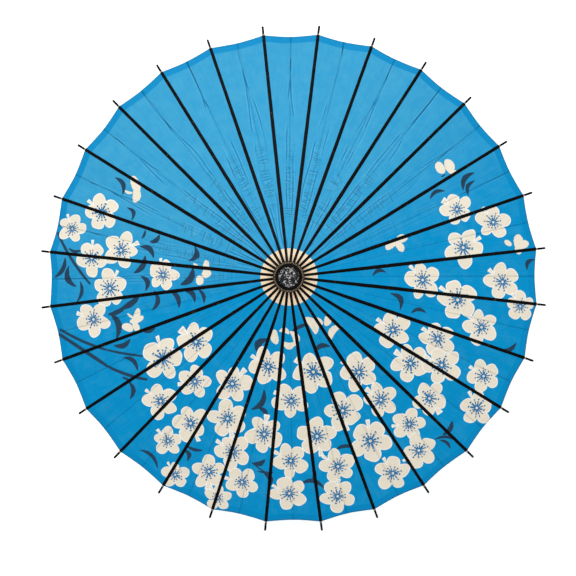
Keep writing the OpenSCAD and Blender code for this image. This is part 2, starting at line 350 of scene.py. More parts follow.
def gore_top(rib, side, look):
    """Upper face of the paper from a rib (v = 0) to the crease halfway to the next one (v = 1).

    A point is the straight blend of this rib's line and the next one's at the same distance along.
    It sinks towards the crease by valley * v^1.3, less near the hub, and rises and falls by
    two noises that fade out at the ribs. The hem is cut back by hollow * (2v - v^2).
    """
    u = np.linspace(0, 1, GORE_ROWS)[:, None]
    v = np.linspace(0, 1, GORE_COLUMNS)[None, :]
    end = PAPER_END - look.hollow * (2 * v - v * v) * (1 - 0.1 * ease(v, 0.8, 1))
    along = look.start + (end - look.start) * u
    azimuth = rib_azimuth(rib)
    here = over_rib(azimuth, along, PAPER_TOP, 0)
    there = over_rib(azimuth + side * PITCH, along, PAPER_TOP, 0)
    points = here + (there - here) * v[..., None] / 2
    gore = (RIBS.index(rib) + (side - 1) // 2) % GORES
    middle = (gore + 0.5) * PITCH
    normal = np.array([math.cos(middle) * DOWN, math.sin(middle) * DOWN, OUT])
    turn = np.mod(np.arctan2(points[..., 1], points[..., 0]), math.tau) / math.tau
    broad = ripple(turn * GORES * 3, along / 0.09, 3, GORES * 3)
    fine = ripple(turn * GORES * 9, along / 0.045, 5, GORES * 9)
    reach = ease(along, 0.03, 0.12)
    depth = look.valley * (0.7 + 0.6 * cell_number(gore, 1, 9)) * along / PAPER_END
    rise = (broad * look.ripple + fine * look.ripple * 0.45) * (2 * v - v * v) * reach
    return points + (rise - depth * v ** 1.3)[..., None] * normal, along, normal



def print_places(plan, faces):
    """Places within the nearest blossoms and strokes, for every corner of every face.

    A blossom's place is the plan offset from its centre over its radius, turned. A stroke's
    place is the plan offset from its start along and across it, over its length.
    """
    corners = plan[faces]
    middle = corners.mean(axis=1)
    places = {}
    reach = np.linalg.norm(middle[:, None] - BLOSSOM_PLAN, axis=2) / BLOSSOM_SIZE
    chosen = np.sort(np.argsort(reach, axis=1)[:, :len(LAYERS)], axis=1)
    for layer, number in zip(LAYERS, chosen.T):
        offset = (corners - BLOSSOM_PLAN[number][:, None]) / BLOSSOM_SIZE[number][:, None, None]
        cos, sin = np.cos(BLOSSOM_TURN[number])[:, None], np.sin(BLOSSOM_TURN[number])[:, None]
        u = offset[..., 0] * cos + offset[..., 1] * sin
        v = offset[..., 1] * cos - offset[..., 0] * sin
        places["blossom_" + layer] = np.stack([u, v, np.broadcast_to(number[:, None] * 1.0, u.shape)], -1)
    side = np.stack([-STROKE_RUN[:, 1], STROKE_RUN[:, 0]], axis=1)
    t = np.linspace(0.1, 0.9, 5)[:, None, None]
    hollow = (STROKE_TABLE[:, 5] * MM / STROKE_LENGTH)[:, None]
    spine = STROKE_START + STROKE_RUN * t + side * hollow * 4 * t * (1 - t)
    reach = np.linalg.norm(middle[:, None, None] - spine, axis=3).min(axis=1)
    chosen = np.sort(np.argsort(reach, axis=1)[:, :len(LAYERS)], axis=1)
    for layer, number in zip(LAYERS, chosen.T):
        offset = corners - STROKE_START[number][:, None]
        run, across = STROKE_RUN[number][:, None], side[number][:, None]
        square = (STROKE_LENGTH[number] ** 2)[:, None]
        t = (offset * run).sum(axis=2) / square
        q = (offset * across).sum(axis=2) / square
        kind = np.broadcast_to(STROKE_TABLE[number, 0][:, None], t.shape)
        places["stroke_" + layer] = np.stack([t, q, kind], axis=-1)
        bend = STROKE_TABLE[number, 5] * MM / STROKE_LENGTH[number]
        width = STROKE_TABLE[number, 6] * MM / 2 / STROKE_LENGTH[number]
        shape = np.stack([bend, width, STROKE_POWER[number]], axis=-1)
        places["shape_" + layer] = np.broadcast_to(shape[:, None], t.shape + (3,))
    return places


def write_places(mesh, places):
    """Stores one vector for each corner of each face under each name."""
    for name, values in places.items():
        attribute = mesh.attributes.new(name, "FLOAT_VECTOR", "CORNER")
        attribute.data.foreach_set("vector", np.ascontiguousarray(values, np.float32).ravel())


def half_gore(rib, side, look, materials):
    """One half of a gore: paper from a rib to the crease beside it, a closed sheet of even thickness."""
    top, along, normal = gore_top(rib, side, look)
    under = top - normal * look.sheet
    rings = np.concatenate([top, under[:, ::-1]], axis=1)
    rows, ring = rings.shape[:2]
    points = rings.reshape(-1, 3)
    cells = np.concatenate([
        grid_faces(rows, ring, closed=True),
        end_faces(0, ring)[:, ::-1],
        end_faces((rows - 1) * ring, ring),
    ])
    cells = face_outward(points, cells)
    name = "paper_" + rib[-2:] + ("_left" if side > 0 else "_right")
    piece = new_piece(name, points, cells)
    for material in materials:
        piece.data.materials.append(material)
    faces = points[cells]
    up = np.cross(faces[:, 2] - faces[:, 0], faces[:, 3] - faces[:, 1]) @ normal
    piece.data.polygons.foreach_set("material_index", (up < 0).astype(np.int32))
    places = print_places(points[:, :2], cells)
    v = np.concatenate([np.linspace(0, 1, GORE_COLUMNS), np.linspace(1, 0, GORE_COLUMNS)])
    radius = np.hypot(points[:, 0], points[:, 1])
    crease = ((1 - v) * radius.reshape(rows, ring) * math.tan(PITCH / 2)).ravel()
    far = np.concatenate([along, along[:, ::-1]], axis=1)
    edge = (far[-1] - far).ravel()
    places["sheet_place"] = np.stack([radius, crease * side, edge], axis=-1)[cells]
    places["rest_place"] = points[cells]
    write_places(piece.data, places)
    declare_half_gore(piece, rib, side, look)
    return piece


def declare_half_gore(piece, rib, side, look):
    """Hides the CAD canopy and rides the rib, with a mesh of its own."""
    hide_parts("canopy")
    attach(piece, rib)
    azimuth = rib_azimuth(rib)
    anchor = over_rib(azimuth, 0, PAPER_TOP, side * look.beside)
    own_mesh(piece)


# ---------------------------------------------------------------- lacquer, knots, crown and catch


LINE_ROWS = 301
LINE_COLUMNS = 8


def lacquer_line(rib, look, material):
    """Thick black line over one rib and its bare tip: a low dome with hand-brushed edges.

    The width grows by an ease curve near the hub and shrinks by another towards the hem. Each
    edge wavers by two noises; the height is the square root of 1 - q^2 across the line. Past the
    hem the line narrows to the tip, drops onto the rib and wraps a little way down its sides.
    """
    along = np.linspace(look.line_start, RIB_END - 0.2 * MM, LINE_ROWS)[:, None]
    bare = ease(along, PAPER_END - 1.0 * MM, PAPER_END + 0.6 * MM)
    q = np.cos(np.linspace(math.pi, 0, LINE_COLUMNS))[None, :]
    seed = RIBS.index(rib)
    full = look.inner_width + look.line_growth * ease(along, 0, 0.13)
    full = full - look.line_taper * ease(along, 0.18, 0.41)
    half = (full + (look.tip_width - full) * bare) / 2
    left, right = (
        1 + 0.04 * ripple(along / 0.011, along * 0, seed + edge)
        + 0.02 * ripple(along / 0.004, along * 0, seed + edge + 40)
        for edge in (0, 80)
    )
    ends = np.sqrt(np.clip(1 - ease(along, RIB_END - 1.2 * MM, RIB_END) ** 2, 0.04, 1))
    aside = half * np.where(q > 0, left, right) * q * ends
    base = PAPER_TOP + (RIB_TOP - PAPER_TOP) * bare
    rough = 1 + 0.06 * ripple(along / 0.006, q * 1.5 + seed, seed + 7)
    height = look.line_height * np.sqrt(np.clip(1 - q * q, 0, 1)) * rough * ends
    base = base - np.abs(aside) * math.sin(PITCH / 2) * DOWN * (1 - bare)
    azimuth = rib_azimuth(rib)
    top = over_rib(azimuth, along, base + height + 0.02 * MM, aside)
    under = over_rib(azimuth, along, base - 0.1 * MM - look.tip_depth * bare, aside)
    rings = np.concatenate([top, under[:, ::-1]], axis=1)
    piece = flat_tube("lacquer_line_" + rib[-2:], rings)
    piece.data.materials.append(material)
    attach(piece, rib)
    return piece


def edge_knot(rib, look, material):
    """Thread wound round the rib where the paper ends: a circle carried along a squared helix."""
    turns = 3
    angle = np.linspace(0, turns * math.tau, turns * 20 + 1)
    cos, sin = np.cos(angle), np.sin(angle)
    aside = look.knot_half_width * np.sign(cos) * np.abs(cos) ** 0.6
    middle = RIB_TOP - look.knot_half_depth + look.thread
    over = middle + look.knot_half_depth * np.sign(sin) * np.abs(sin) ** 0.6
    along = PAPER_END + look.thread + angle / math.tau * look.thread * 2.1
    spine = over_rib(rib_azimuth(rib), along, over, aside)
    sides = np.linspace(0, math.tau, 8, endpoint=False)
    azimuth = rib_azimuth(rib)
    middle = over_rib(azimuth, along * 0, cos * 0, cos * 0)
    outward = over_rib(azimuth, along * 0, cos * 0 + sin, cos) - middle
    lengthwise = over_rib(azimuth, 1.0, 0.0, 0.0) - over_rib(azimuth, 0.0, 0.0, 0.0)
    shrink = np.minimum(1, np.minimum(angle, angle[-1] - angle) / 0.5 + 0.25)[:, None, None]
    ring = np.cos(sides)[None, :, None] * outward[:, None] + np.sin(sides)[None, :, None] * lengthwise
    piece = round_tube("edge_knot_" + rib[-2:], spine[:, None] + ring * look.thread * shrink)
    piece.data.materials.append(material)
    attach(piece, rib)
    return piece


def paper_height(radius):
    """Height of the paper's upper face above a rib, at a distance from the axis."""
    return HINGE_Z - (radius - HINGE_R) * math.tan(SLOPE) + PAPER_TOP / OUT


def cap_height(radius):
    """Height of the CAD cap's dome at a distance from the axis, read off its own corners."""
    distance = np.hypot(CAP[:, 0], CAP[:, 1])
    inside = distance < CAP_RADIUS - 0.1 * MM
    order = np.argsort(distance[inside])
    return np.interp(radius, distance[inside][order], CAP[inside][order, 2])


def crown_cap(look, material):
    """Crumpled lacquered paper over the cap: the dome plus sharp ridges, 1 - |noise|, in two sizes."""
    rise = np.linspace(0, 1, 80)[1:, None]
    turn = np.linspace(0, 1, 256, endpoint=False)[None, :]
    rim = CAP_RADIUS + 0.6 * MM
    radius = rim * np.sin(rise * math.pi / 2) + 0 * turn
    x, y = radius * np.cos(turn * math.tau), radius * np.sin(turn * math.tau)
    bend = 3.5 * MM * ripple(x / 0.011, y / 0.011, 15)
    big = 1 - np.abs(ripple((x + bend) / 0.0085, (y - bend) / 0.0050, 11)) * 2.4
    small = 1 - np.abs(ripple((x + bend) / 0.0050 + 7, (y - bend) / 0.0026, 12)) * 2.2
    lift = (1.6 * big + 0.8 * small) * look.crumple * (1 - 0.6 * ease(radius, 0.75 * rim, rim))
    dome = cap_height(np.minimum(radius, CAP_RADIUS)) + 0.35 * MM
    top = np.stack([x, y, dome + np.maximum(lift, -0.2 * MM)], axis=-1)
    swell = 1 + 0.02 * ripple(turn * 22, 0 * turn, 14, 22)
    side_drop = np.array([0.8, 2.0, 2.7])[:, None] * MM
    side_radius = np.array([1.012, 1.01, 0.97])[:, None] * rim * swell
    side = np.stack([
        side_radius * np.cos(turn * math.tau),
        side_radius * np.sin(turn * math.tau),
        cap_height(CAP_RADIUS) - side_drop + 0 * side_radius,
    ], axis=-1)
    piece = round_tube("crown_cap", np.concatenate([top, side]))
    piece.data.materials.append(material)
    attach(piece, "root")
    return piece


def crown_skirt(look, material):
    """Gathered paper under the cap: a flattened ring whose upper side swells twice in every gore.

    With angle p round the ring's section, distance is middle + half * cos p and height follows
    the paper, plus a thickness that swells by |cos(gores * azimuth)|^1.4 on the upper side.
    """
    section = np.linspace(0, math.tau, 28, endpoint=False)[:, None]
    turn = np.linspace(0, math.tau, GORES * 20, endpoint=False)[None, :]
    share = turn / math.tau
    lump = np.abs(np.cos(turn * GORES)) ** 1.4
    uneven = 0.75 + 0.25 * ripple(share * GORES, 0 * turn, 21, GORES)
    inner = CAP_RADIUS - 1.2 * MM
    outer = look.skirt_radius * (0.93 + 0.07 * lump + 0.03 * ripple(share * GORES, 0 * turn, 22, GORES))
    radius = (inner + outer) / 2 + (outer - inner) / 2 * np.cos(section)
    upper = np.clip(np.sin(section), 0, 1) ** 0.6
    wrinkle = 0.12 * MM * ripple(share * GORES * 5, radius / 0.0015, 23, GORES * 5)
    height = 0.25 * MM + upper * (0.6 * MM + look.skirt_swell * lump * uneven + wrinkle)
    height = height + 0.15 * MM * np.clip(-np.sin(section), 0, 1)
    points = np.stack([radius * np.cos(turn), radius * np.sin(turn), paper_height(radius) + height], axis=-1)
    rows, ring = points.shape[:2]
    flat = points.reshape(-1, 3)
    cells = grid_faces(rows, ring, closed=True)
    step = np.arange(ring)
    last = (rows - 1) * ring
    seam = np.stack([last + step, last + (step + 1) % ring, (step + 1) % ring, step], axis=-1)
    cells = face_outward(flat, np.concatenate([cells, seam]))
    piece = new_piece("crown_skirt", flat, cells)
    piece.data.materials.append(material)
    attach(piece, "root")
    return piece


def catch_spring(material):
    """Bamboo catch in the pole's slot: an ellipse carried along a path that leans out and turns back in."""
    t = np.linspace(0, 1, 60)[:, None]
    foot = RUNNER_FOOT - 37 * MM
    nose = RUNNER_FOOT - 1.1 * MM
    x = 3.2 * MM + 5.2 * MM * ease(t, 0.1, 0.82) - 4.2 * MM * ease(t, 0.88, 1)
    z = foot + (nose - foot) * np.minimum(t / 0.88, 1)
    round_off = np.sqrt(np.clip(1 - (2 * t - 1) ** 8, 0.02, 1))
    side = np.linspace(0, math.tau, 16, endpoint=False)[None, :]
    points = np.stack(np.broadcast_arrays(
        x + 0.5 * MM * np.cos(side) * round_off,
        1.05 * MM * np.sin(side) * round_off,
        z + 0.5 * MM * np.cos(side) * ease(t, 0.8, 0.9) * round_off,
    ), axis=-1)
    piece = round_tube("catch_spring", points)
    piece.data.materials.append(material)
    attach(piece, "root")
    return piece


# ---------------------------------------------------------------- node helpers


class Nodes:
    """Adds shader nodes to one tree. A value may be a socket, which is joined, or a plain number."""

    def __init__(self, tree):
        self.tree = tree

    def add(self, kind, **settings):
        node = self.tree.nodes.new(kind)
        for name, value in settings.items():
            setattr(node, name, value)
        return node

    def put(self, value, socket):
        if isinstance(value, bpy.types.NodeSocket):
            self.tree.links.new(value, socket)
        elif socket.type == "RGBA":
            socket.default_value = (*value[:3], 1)
        else:
            socket.default_value = value

    def math(self, operation, first, second=0.0, third=0.0):
        node = self.add("ShaderNodeMath", operation=operation)
        for value, socket in zip((first, second, third), node.inputs):
            self.put(value, socket)
        return node.outputs[0]

    def vector(self, operation, first, second=(0.0, 0.0, 0.0)):
        node = self.add("ShaderNodeVectorMath", operation=operation)
        self.put(first, node.inputs[0])
        self.put(second, node.inputs[1])
        return node.outputs["Value" if operation in ("LENGTH", "DOT_PRODUCT") else "Vector"]

    def scaled(self, place, factors):
        return self.vector("MULTIPLY", place, factors)

    def split(self, place):
        node = self.add("ShaderNodeSeparateXYZ")
        self.put(place, node.inputs[0])
        return node.outputs

    def join(self, x, y, z):
        node = self.add("ShaderNodeCombineXYZ")
        for value, socket in zip((x, y, z), node.inputs):
            self.put(value, socket)
        return node.outputs[0]

    def mix(self, factor, first, second):
        node = self.add("ShaderNodeMix", data_type="RGBA")
        self.put(factor, node.inputs[0])
        self.put(first, node.inputs[6])
        self.put(second, node.inputs[7])
        return node.outputs[2]

    def span(self, value, low, high, out_low=0.0, out_high=1.0):
        node = self.add("ShaderNodeMapRange", interpolation_type="SMOOTHSTEP")
        for item, socket in zip((value, low, high, out_low, out_high), node.inputs):
            self.put(item, socket)
        return node.outputs[0]

    def noise(self, place, scale, detail=2.0, roughness=0.5, colour=False):
        node = self.add("ShaderNodeTexNoise")
        self.put(place, node.inputs["Vector"])
        node.inputs["Scale"].default_value = scale
        node.inputs["Detail"].default_value = detail
        node.inputs["Roughness"].default_value = roughness
        return node.outputs["Color" if colour else "Fac"]

    def attribute(self, name):
        return self.add("ShaderNodeAttribute", attribute_name=name).outputs["Vector"]

    def place(self):
        return self.add("ShaderNodeTexCoord").outputs["Object"]

    def group(self, tree, **values):
        node = self.add("ShaderNodeGroup", node_tree=tree)
        for name, value in values.items():
            self.put(value, node.inputs[name])
        return node.outputs


def new_group(name, inputs, outputs):
    """An empty shader node group with named sockets, and its helper, its inputs and its way out."""
    tree = bpy.data.node_groups.new(name, "ShaderNodeTree")
    for socket, kind in inputs.items():
        tree.interface.new_socket(socket, in_out="INPUT", socket_type="NodeSocket" + kind)
    for socket in outputs:
        tree.interface.new_socket(socket, in_out="OUTPUT", socket_type="NodeSocketFloat")
    nodes = Nodes(tree)
    entry = nodes.add("NodeGroupInput").outputs
    way_out = nodes.add("NodeGroupOutput").inputs
    return tree, nodes, entry, way_out


def blossom_group():
    """Five round petals with a pale rim, and stamens with dots, about the middle of one blossom."""
    tree, n, entry, way_out = new_group("blossom_print", {"Place": "Vector"}, ("Petal", "Rim", "Stamen"))
    u, v, number = n.split(entry["Place"])
    flat = n.join(u, v, 0.0)
    radius = n.vector("LENGTH", flat)
    heading = n.vector("NORMALIZE", flat)
    hx, hy, _ = n.split(heading)
    seed = n.math("MULTIPLY", number, 3.71)
    round_petals = n.join(n.math("MULTIPLY", hx, 0.9), n.math("MULTIPLY", hy, 0.9), seed)
    waver = n.noise(round_petals, 1.0, 1.0, colour=True)
    stretch, swing, _ = n.split(waver)
    angle = n.math("ARCTAN2", v, u)
    angle = n.math("MULTIPLY_ADD", n.math("SUBTRACT", swing, 0.5), 0.7, angle)
    size = n.math("MULTIPLY_ADD", n.math("SUBTRACT", stretch, 0.5), 0.55, 1.0)
    reach = n.math("DIVIDE", radius, size)
    fifth = n.math("FRACT", n.math("MULTIPLY_ADD", angle, 5 / math.tau, 5.0))
    bearing = n.math("MULTIPLY", n.math("SUBTRACT", fifth, 0.5), math.tau / 5)
    px = n.math("MULTIPLY", reach, n.math("COSINE", bearing))
    py = n.math("MULTIPLY", reach, n.math("SINE", bearing))
    px = n.math("DIVIDE", n.math("SUBTRACT", px, 0.59), 0.395)
    py = n.math("DIVIDE", py, 0.358)
    field = n.math("SQRT", n.math("ADD", n.math("MULTIPLY", px, px), n.math("MULTIPLY", py, py)))
    inner = n.span(reach, 0.34, 0.38, 1.0, 0.0)
    petal = n.math("MAXIMUM", n.span(field, 0.98, 1.03, 1.0, 0.0), inner)
    flare = n.math("MULTIPLY_ADD", n.span(u, 0.55, 1.0), 0.065, 0.055)
    off_stalk = n.math("ABSOLUTE", n.math("MULTIPLY_ADD", n.math("SUBTRACT", swing, 0.5), u, v))
    stalk = n.span(n.math("SUBTRACT", off_stalk, flare), -0.015, 0.015, 1.0, 0.0)
    stalk_length = n.math("MULTIPLY", n.span(u, 0.3, 0.32), n.span(u, 1.02, 1.05, 1.0, 0.0))
    stalk = n.math("MULTIPLY", stalk, stalk_length)
    petal = n.math("MAXIMUM", petal, stalk)
    core = n.math("MAXIMUM", n.span(field, 0.88, 0.93, 1.0, 0.0), n.span(reach, 0.5, 0.56, 1.0, 0.0))
    heart = n.span(n.math("SUBTRACT", off_stalk, flare), -0.05, -0.03, 1.0, 0.0)
    core = n.math("MAXIMUM", core, n.math("MULTIPLY", heart, n.span(u, 0.95, 0.98, 1.0, 0.0)))
    n.put(petal, way_out["Petal"])
    n.put(n.math("SUBTRACT", petal, core), way_out["Rim"])
    count = 12
    share = n.math("MULTIPLY_ADD", angle, count / math.tau, count * 2.0)
    index = n.math("FLOOR", share)
    luck = n.add("ShaderNodeTexWhiteNoise", noise_dimensions="2D")
    n.put(n.join(index, number, 0.0), luck.inputs["Vector"])
    long, shift, _ = n.split(luck.outputs["Color"])
    off = n.math("SUBTRACT", n.math("FRACT", share), n.math("MULTIPLY_ADD", shift, 0.4, 0.3))
    aside = n.math("ABSOLUTE", n.math("MULTIPLY", n.math("MULTIPLY", off, math.tau / count), radius))
    length = n.math("MULTIPLY_ADD", long, 0.2, 0.23)
    line = n.math("MULTIPLY", n.span(aside, 0.026, 0.05, 1.0, 0.0), n.span(radius, 0.05, 0.09))
    line = n.math("MULTIPLY", line, n.span(n.math("SUBTRACT", radius, length), 0.0, 0.02, 1.0, 0.0))
    from_dot = n.math("SUBTRACT", n.math("SUBTRACT", radius, length), 0.1)
    dot = n.math("ADD", n.math("MULTIPLY", from_dot, from_dot), n.math("MULTIPLY", aside, aside))
    dot = n.math("SQRT", dot)
    dot = n.span(dot, 0.036, 0.06, 1.0, 0.0)
    n.put(n.math("MULTIPLY", n.math("MAXIMUM", line, dot), petal), way_out["Stamen"])
    return tree


def stroke_group():
    """One brush stroke: a bent spine whose half width is width * (4t(1 - t))^power."""
    inputs = {"Place": "Vector", "Shape": "Vector"}
    tree, n, entry, way_out = new_group("brush_stroke", inputs, ("Ink", "Pale"))
    t, q, kind = n.split(entry["Place"])
    bend, width, power = n.split(entry["Shape"])
    arch = n.math("MULTIPLY", n.math("MULTIPLY", t, n.math("SUBTRACT", 1.0, t)), 4.0)
    within = n.math("MAXIMUM", arch, 0.0001)
    half = n.math("MULTIPLY", width, n.math("POWER", within, power))
    waver = n.noise(n.join(n.math("MULTIPLY", t, 6.0), q, kind), 1.0, 2.0)
    half = n.math("MULTIPLY", half, n.math("MULTIPLY_ADD", waver, 0.5, 0.75))
    spine = n.math("MULTIPLY", bend, arch)
    away = n.math("ABSOLUTE", n.math("SUBTRACT", q, spine))
    edge = n.math("SUBTRACT", away, half)
    ink = n.span(edge, -0.012, 0.012, 1.0, 0.0)
    ink = n.math("MULTIPLY", ink, n.math("GREATER_THAN", arch, 0.002))
    n.put(ink, way_out["Ink"])
    n.put(n.math("GREATER_THAN", kind, 1.5), way_out["Pale"])
    return tree


def crumple_group():
    """Heights of crumpled paper: sharp ridges, one minus the size of a noise, over a fine grain."""
    sockets = {"Place": "Vector", "Size": "Float"}
    tree, n, entry, way_out = new_group("crumple", sockets, ("Height", "Ridge", "Cloud"))
    place = n.vector("SCALE", entry["Place"])
    n.put(n.math("DIVIDE", 1.0, entry["Size"]), place.node.inputs["Scale"])
    broad = n.noise(place, 1.0, 3.0, 0.55)
    cloud = n.noise(place, 0.35, 2.0, 0.5)
    ridge = n.math("ABSOLUTE", n.math("SUBTRACT", broad, 0.5))
    ridge = n.span(ridge, 0.0, 0.12, 1.0, 0.0)
    fine = n.noise(place, 9.0, 2.0, 0.6)
    height = n.math("MULTIPLY_ADD", fine, 0.18, ridge)
    n.put(height, way_out["Height"])
    n.put(ridge, way_out["Ridge"])
    n.put(cloud, way_out["Cloud"])
    return tree


def grain_group():
    """Long fibres: noise drawn out along the first direction of the place, with fine dark pores."""
    tree, n, entry, way_out = new_group("grain", {"Place": "Vector"}, ("Streak", "Pore", "Height"))
    drawn = n.scaled(entry["Place"], (22.0, 900.0, 900.0))
    streak = n.noise(drawn, 1.0, 3.0, 0.6)
    pore = n.noise(n.scaled(entry["Place"], (90.0, 3200.0, 3200.0)), 1.0, 1.0, 0.5)
    pore = n.span(pore, 0.58, 0.7)
    n.put(streak, way_out["Streak"])
    n.put(pore, way_out["Pore"])
    n.put(n.math("SUBTRACT", streak, n.math("MULTIPLY", pore, 0.5)), way_out["Height"])
    return tree


def wear_group():
    """Patches where the finish has rubbed thin: a coarse noise sharpened by a finer one."""
    inputs = {"Place": "Vector", "Size": "Float", "Amount": "Float"}
    tree, n, entry, way_out = new_group("wear", inputs, ("Patch",))
    place = n.vector("SCALE", entry["Place"])
    n.put(n.math("DIVIDE", 1.0, entry["Size"]), place.node.inputs["Scale"])
    coarse = n.noise(place, 1.0, 2.0, 0.5)
    fine = n.noise(place, 5.0, 3.0, 0.7)
    both = n.math("MULTIPLY_ADD", fine, 0.45, n.math("MULTIPLY", coarse, 0.75))
    low = n.math("SUBTRACT", 0.95, n.math("MULTIPLY", entry["Amount"], 0.5))
    high = n.math("ADD", low, 0.07)
    n.put(n.span(both, low, high), way_out["Patch"])
    return tree


def group_named(name):
    """The shared node group of that name, made the first time it is asked for."""
    makers = {
        "blossom_print": blossom_group,
        "brush_stroke": stroke_group,
        "crumple": crumple_group,
        "grain": grain_group,
        "pucker": pucker_group,
        "wear": wear_group,
    }
    return bpy.data.node_groups.get(name) or makers[name]()


def new_material(name):
    """A material with one Principled BSDF; returns it, its node helper and the shader node."""
    material = bpy.data.materials.new(name)
    material.use_nodes = True
    nodes = Nodes(material.node_tree)
    shader = material.node_tree.nodes["Principled BSDF"]
    return material, nodes, shader


def add_bump(nodes, shader, height, strength=1.0, distance=1.0):
    """Joins a height in metres, or scaled by distance, to the shader's normal."""
    bump = nodes.add("ShaderNodeBump")
    bump.inputs["Strength"].default_value = strength
    bump.inputs["Distance"].default_value = distance
    nodes.put(height, bump.inputs["Height"])
    nodes.put(bump.outputs["Normal"], shader.inputs["Normal"])


# ---------------------------------------------------------------- materials


def pucker_group():
    """Folds of loose paper in one gore: a crease that forks, and short bumps across the middle.

    The crease wanders with a slow noise and opens into two lines between the hem and the hub. Shine is a
    painted highlight: a pale line beside the crease.
    """
    inputs = {"Rest": "Vector", "Sheet": "Vector"}
    tree, n, entry, way_out = new_group("pucker", inputs, ("Line", "Shine", "Bump", "Streak"))
    x, y, _ = n.split(entry["Rest"])
    _, aside, edge = n.split(entry["Sheet"])
    gore = n.math("FLOOR", n.math("DIVIDE", n.math("ARCTAN2", y, x), PITCH))
    seed = n.math("MULTIPLY", gore, 5.3)
    wander = n.noise(n.join(n.math("MULTIPLY", edge, 9.0), seed, 0.0), 1.0, 2.0)
    strayed = n.math("MULTIPLY_ADD", n.math("SUBTRACT", wander, 0.5), 0.012, aside)
    opening = n.math("MULTIPLY", n.span(edge, 0.06, 0.17), n.span(edge, 0.28, 0.36, 1.0, 0.35))
    luck = n.noise(n.join(seed, 3.3, 0.0), 1.0, 1.0)
    opening = n.math("MULTIPLY", opening, n.math("MULTIPLY_ADD", luck, 0.012, 0.0))
    fork = n.math("ABSOLUTE", n.math("SUBTRACT", n.math("ABSOLUTE", strayed), opening))
    line = n.span(fork, 0.0002, 0.0013, 1.0, 0.0)
    broken = n.noise(n.join(n.math("MULTIPLY", edge, 16.0), n.math("MULTIPLY", aside, 60.0), seed), 1.0, 1.0)
    unbroken = n.span(broken, 0.42, 0.56)
    n.put(n.math("MULTIPLY", line, unbroken), way_out["Line"])
    # Shine: a painted highlight, a line beside the crease.
    beside = n.math("ABSOLUTE", n.math("SUBTRACT", fork, 0.0021))
    n.put(n.math("MULTIPLY", n.span(beside, 0.0003, 0.0012, 1.0, 0.0), unbroken), way_out["Shine"])
    place = n.join(n.math("MULTIPLY", aside, 50.0), n.math("MULTIPLY", edge, 190.0), seed)
    bump = n.span(n.noise(place, 1.0, 0.0), 0.48, 0.68)
    bump = n.math("MULTIPLY", bump, n.span(n.math("ABSOLUTE", aside), 0.004, 0.011, 1.0, 0.0))
    within = n.math("MULTIPLY", n.span(edge, 0.17, 0.23), n.span(edge, 0.32, 0.36, 1.0, 0.0))
    n.put(n.math("MULTIPLY", bump, within), way_out["Bump"])
    place = n.join(n.math("MULTIPLY", aside, 330.0), n.math("MULTIPLY", edge, 22.0), seed)
    n.put(n.noise(place, 1.0, 3.0, 0.6), way_out["Streak"])
    return tree


